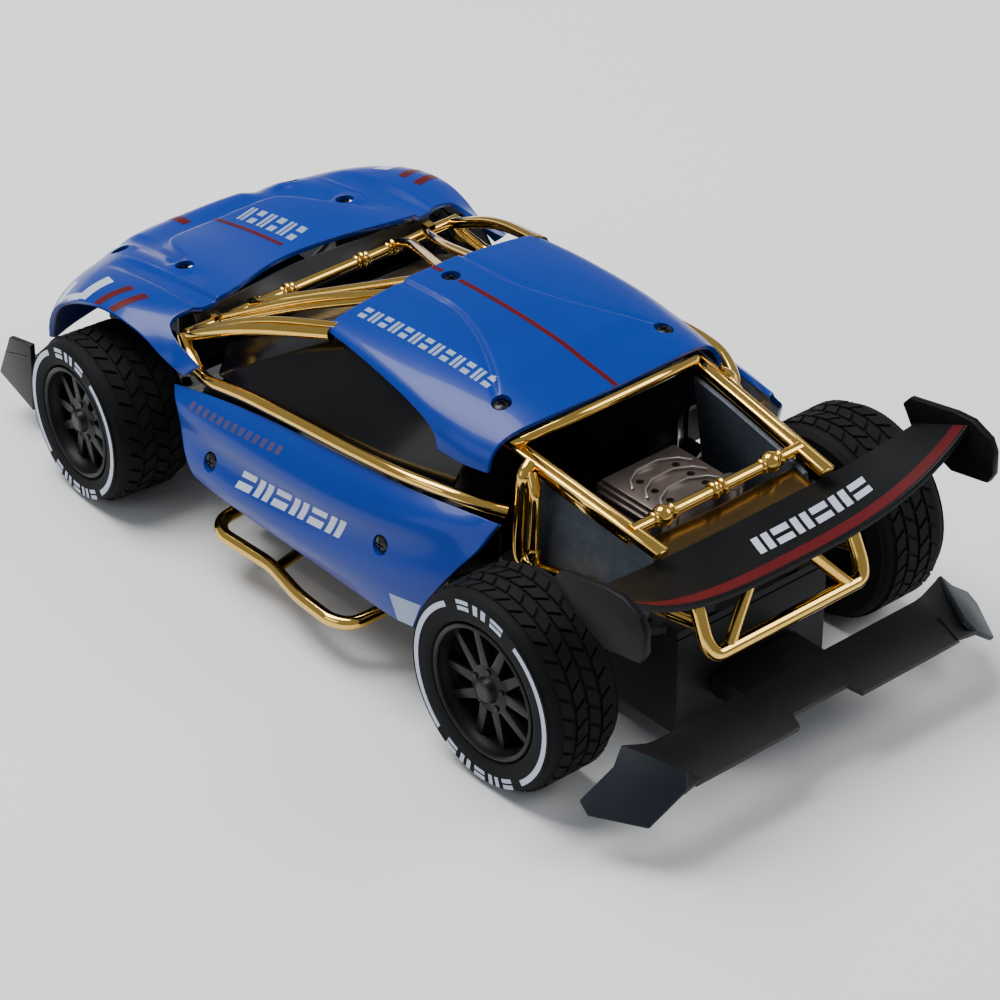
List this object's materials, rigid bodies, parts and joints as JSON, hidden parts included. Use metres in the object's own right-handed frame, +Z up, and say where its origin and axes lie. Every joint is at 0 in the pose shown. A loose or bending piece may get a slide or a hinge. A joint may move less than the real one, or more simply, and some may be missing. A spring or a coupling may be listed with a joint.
{
  "type": "remote control car",
  "caption": "Remote control race car with blue body panels, gold tubular cage, big curved rear spoiler, fat black tyres, steering front wheels and a geared rear axle.",
  "frame": {"origin": "ground level under the centre of the car", "axes": "-Y is the front of the car, +X its left side, +Z up"},
  "size_m": [0.1352, 0.2704, 0.0782],
  "materials": {
    "blue_gloss_paint": "gloss",
    "gold_plating": "mirror-bright plating",
    "black_moulding": "satin",
    "black_gloss_moulding": "gloss",
    "slate_moulding": "grained",
    "tyre_rubber": "matte",
    "rim_moulding": "satin",
    "gunmetal_moulding": "metallic satin",
    "bright_steel": "bright",
    "screw_steel": "black zinc",
    "white_nylon": "satin",
    "pinion_brass": "bright",
    "circuit_board": "satin",
    "battery_sleeve": "gloss"
  },
  "bodies": {
    "chassis": {"chassis_tray": "black_moulding", "upper_deck": "black_moulding", "rear_deck": "black_moulding", "front_bridge": "black_moulding", "front_bumper": "black_moulding", "lower_rear_wing": "black_moulding", "cabin_shell": "black_gloss_moulding", "cowl_vent": "black_moulding", "engine_block": "gunmetal_moulding", "hood_shell": "blue_gloss_paint", "roof_panel": "blue_gloss_paint", "side_panel_left": "blue_gloss_paint", "side_panel_right": "blue_gloss_paint", "cage_front": "gold_plating", "waist_rail_left": "gold_plating", "waist_rail_right": "gold_plating", "cage_rear": "gold_plating", "cage_hoop_left": "gold_plating", "cage_hoop_right": "gold_plating", "quarter_panel_left": "slate_moulding", "quarter_panel_right": "slate_moulding", "rear_bumper_hoop": "gold_plating", "side_bar_left": "gold_plating", "side_bar_right": "gold_plating", "spoiler": "black_moulding", "battery_cover": "black_moulding", "battery_pack": "battery_sleeve", "circuit_board": "circuit_board", "drive_motor": "bright_steel", "axle_bush_left": "white_nylon", "axle_bush_right": "white_nylon", "steering_servo": "black_moulding", "battery_screw": "screw_steel", "roof_screw_1": "screw_steel", "roof_screw_2": "screw_steel", "roof_screw_3": "screw_steel", "hood_screw_1": "screw_steel", "hood_screw_2": "screw_steel", "hood_screw_3": "screw_steel", "hood_screw_4": "screw_steel", "side_screw_left_1": "screw_steel", "side_screw_left_2": "screw_steel", "side_screw_right_1": "screw_steel", "side_screw_right_2": "screw_steel"},
    "knuckle_left": {"steering_knuckle_left": "black_moulding"},
    "knuckle_right": {"steering_knuckle_right": "black_moulding"},
    "front_wheel_left": {"front_tyre_left": "tyre_rubber", "front_rim_left": "rim_moulding"},
    "front_wheel_right": {"front_tyre_right": "tyre_rubber", "front_rim_right": "rim_moulding"},
    "rear_axle_set": {"rear_axle": "bright_steel", "axle_gear": "white_nylon", "rear_tyre_left": "tyre_rubber", "rear_tyre_right": "tyre_rubber", "rear_rim_left": "rim_moulding", "rear_rim_right": "rim_moulding"},
    "pinion": {"motor_pinion": "pinion_brass"},
    "servo_arm": {"servo_horn": "white_nylon"},
    "tie_bar": {"tie_rod": "white_nylon"},
    "switch_cap": {"power_switch": "black_gloss_moulding"}
  },
  "joints": [
    {"name": "steer_left", "type": "hinge", "parent": "chassis", "child": "knuckle_left", "pos_m": [0.039, -0.0826, 0.0232], "axis": [0, 0, 1], "range_deg": [-15, 25]},
    {"name": "steer_right", "type": "hinge", "parent": "chassis", "child": "knuckle_right", "pos_m": [-0.039, -0.0826, 0.0232], "axis": [0, 0, 1], "range_deg": [-15.1, 25.1]},
    {"name": "tie_rod_slide", "type": "slide", "parent": "chassis", "child": "tie_bar", "axis": [1, 0, 0], "range_m": [-0.0051, 0.0031]},
    {"name": "servo_turn", "type": "hinge", "parent": "chassis", "child": "servo_arm", "pos_m": [0, -0.0596, 0.026], "axis": [0, 0, 1], "range_deg": [-25.1, 15.1]},
    {"name": "front_left_wheel_spin", "type": "hinge", "parent": "knuckle_left", "child": "front_wheel_left", "pos_m": [0.05384, -0.0839, 0.0232], "axis": [0.9962, -0.0872, 0], "continuous": true},
    {"name": "front_right_wheel_spin", "type": "hinge", "parent": "knuckle_right", "child": "front_wheel_right", "pos_m": [-0.05384, -0.0813, 0.0232], "axis": [0.9962, -0.0872, 0], "continuous": true},
    {"name": "rear_axle_spin", "type": "hinge", "parent": "chassis", "child": "rear_axle_set", "pos_m": [0, 0.0826, 0.027], "axis": [1, 0, 0], "continuous": true},
    {"name": "motor_pinion_spin", "type": "hinge", "parent": "chassis", "child": "pinion", "pos_m": [0.0085, 0.0706, 0.027], "axis": [1, 0, 0], "continuous": true},
    {"name": "power_switch_slide", "type": "slide", "parent": "chassis", "child": "switch_cap", "axis": [1, 0, 0], "range_m": [0, 0.0048]}
  ],
  "couplings": [
    {"joint": "steer_right", "follows": "steer_left", "ratio": 1},
    {"joint": "tie_rod_slide", "follows": "steer_left", "m_per_rad": -0.01127},
    {"joint": "servo_turn", "follows": "steer_left", "ratio": -1},
    {"joint": "motor_pinion_spin", "follows": "rear_axle_spin", "ratio": -2.3333}
  ]
}
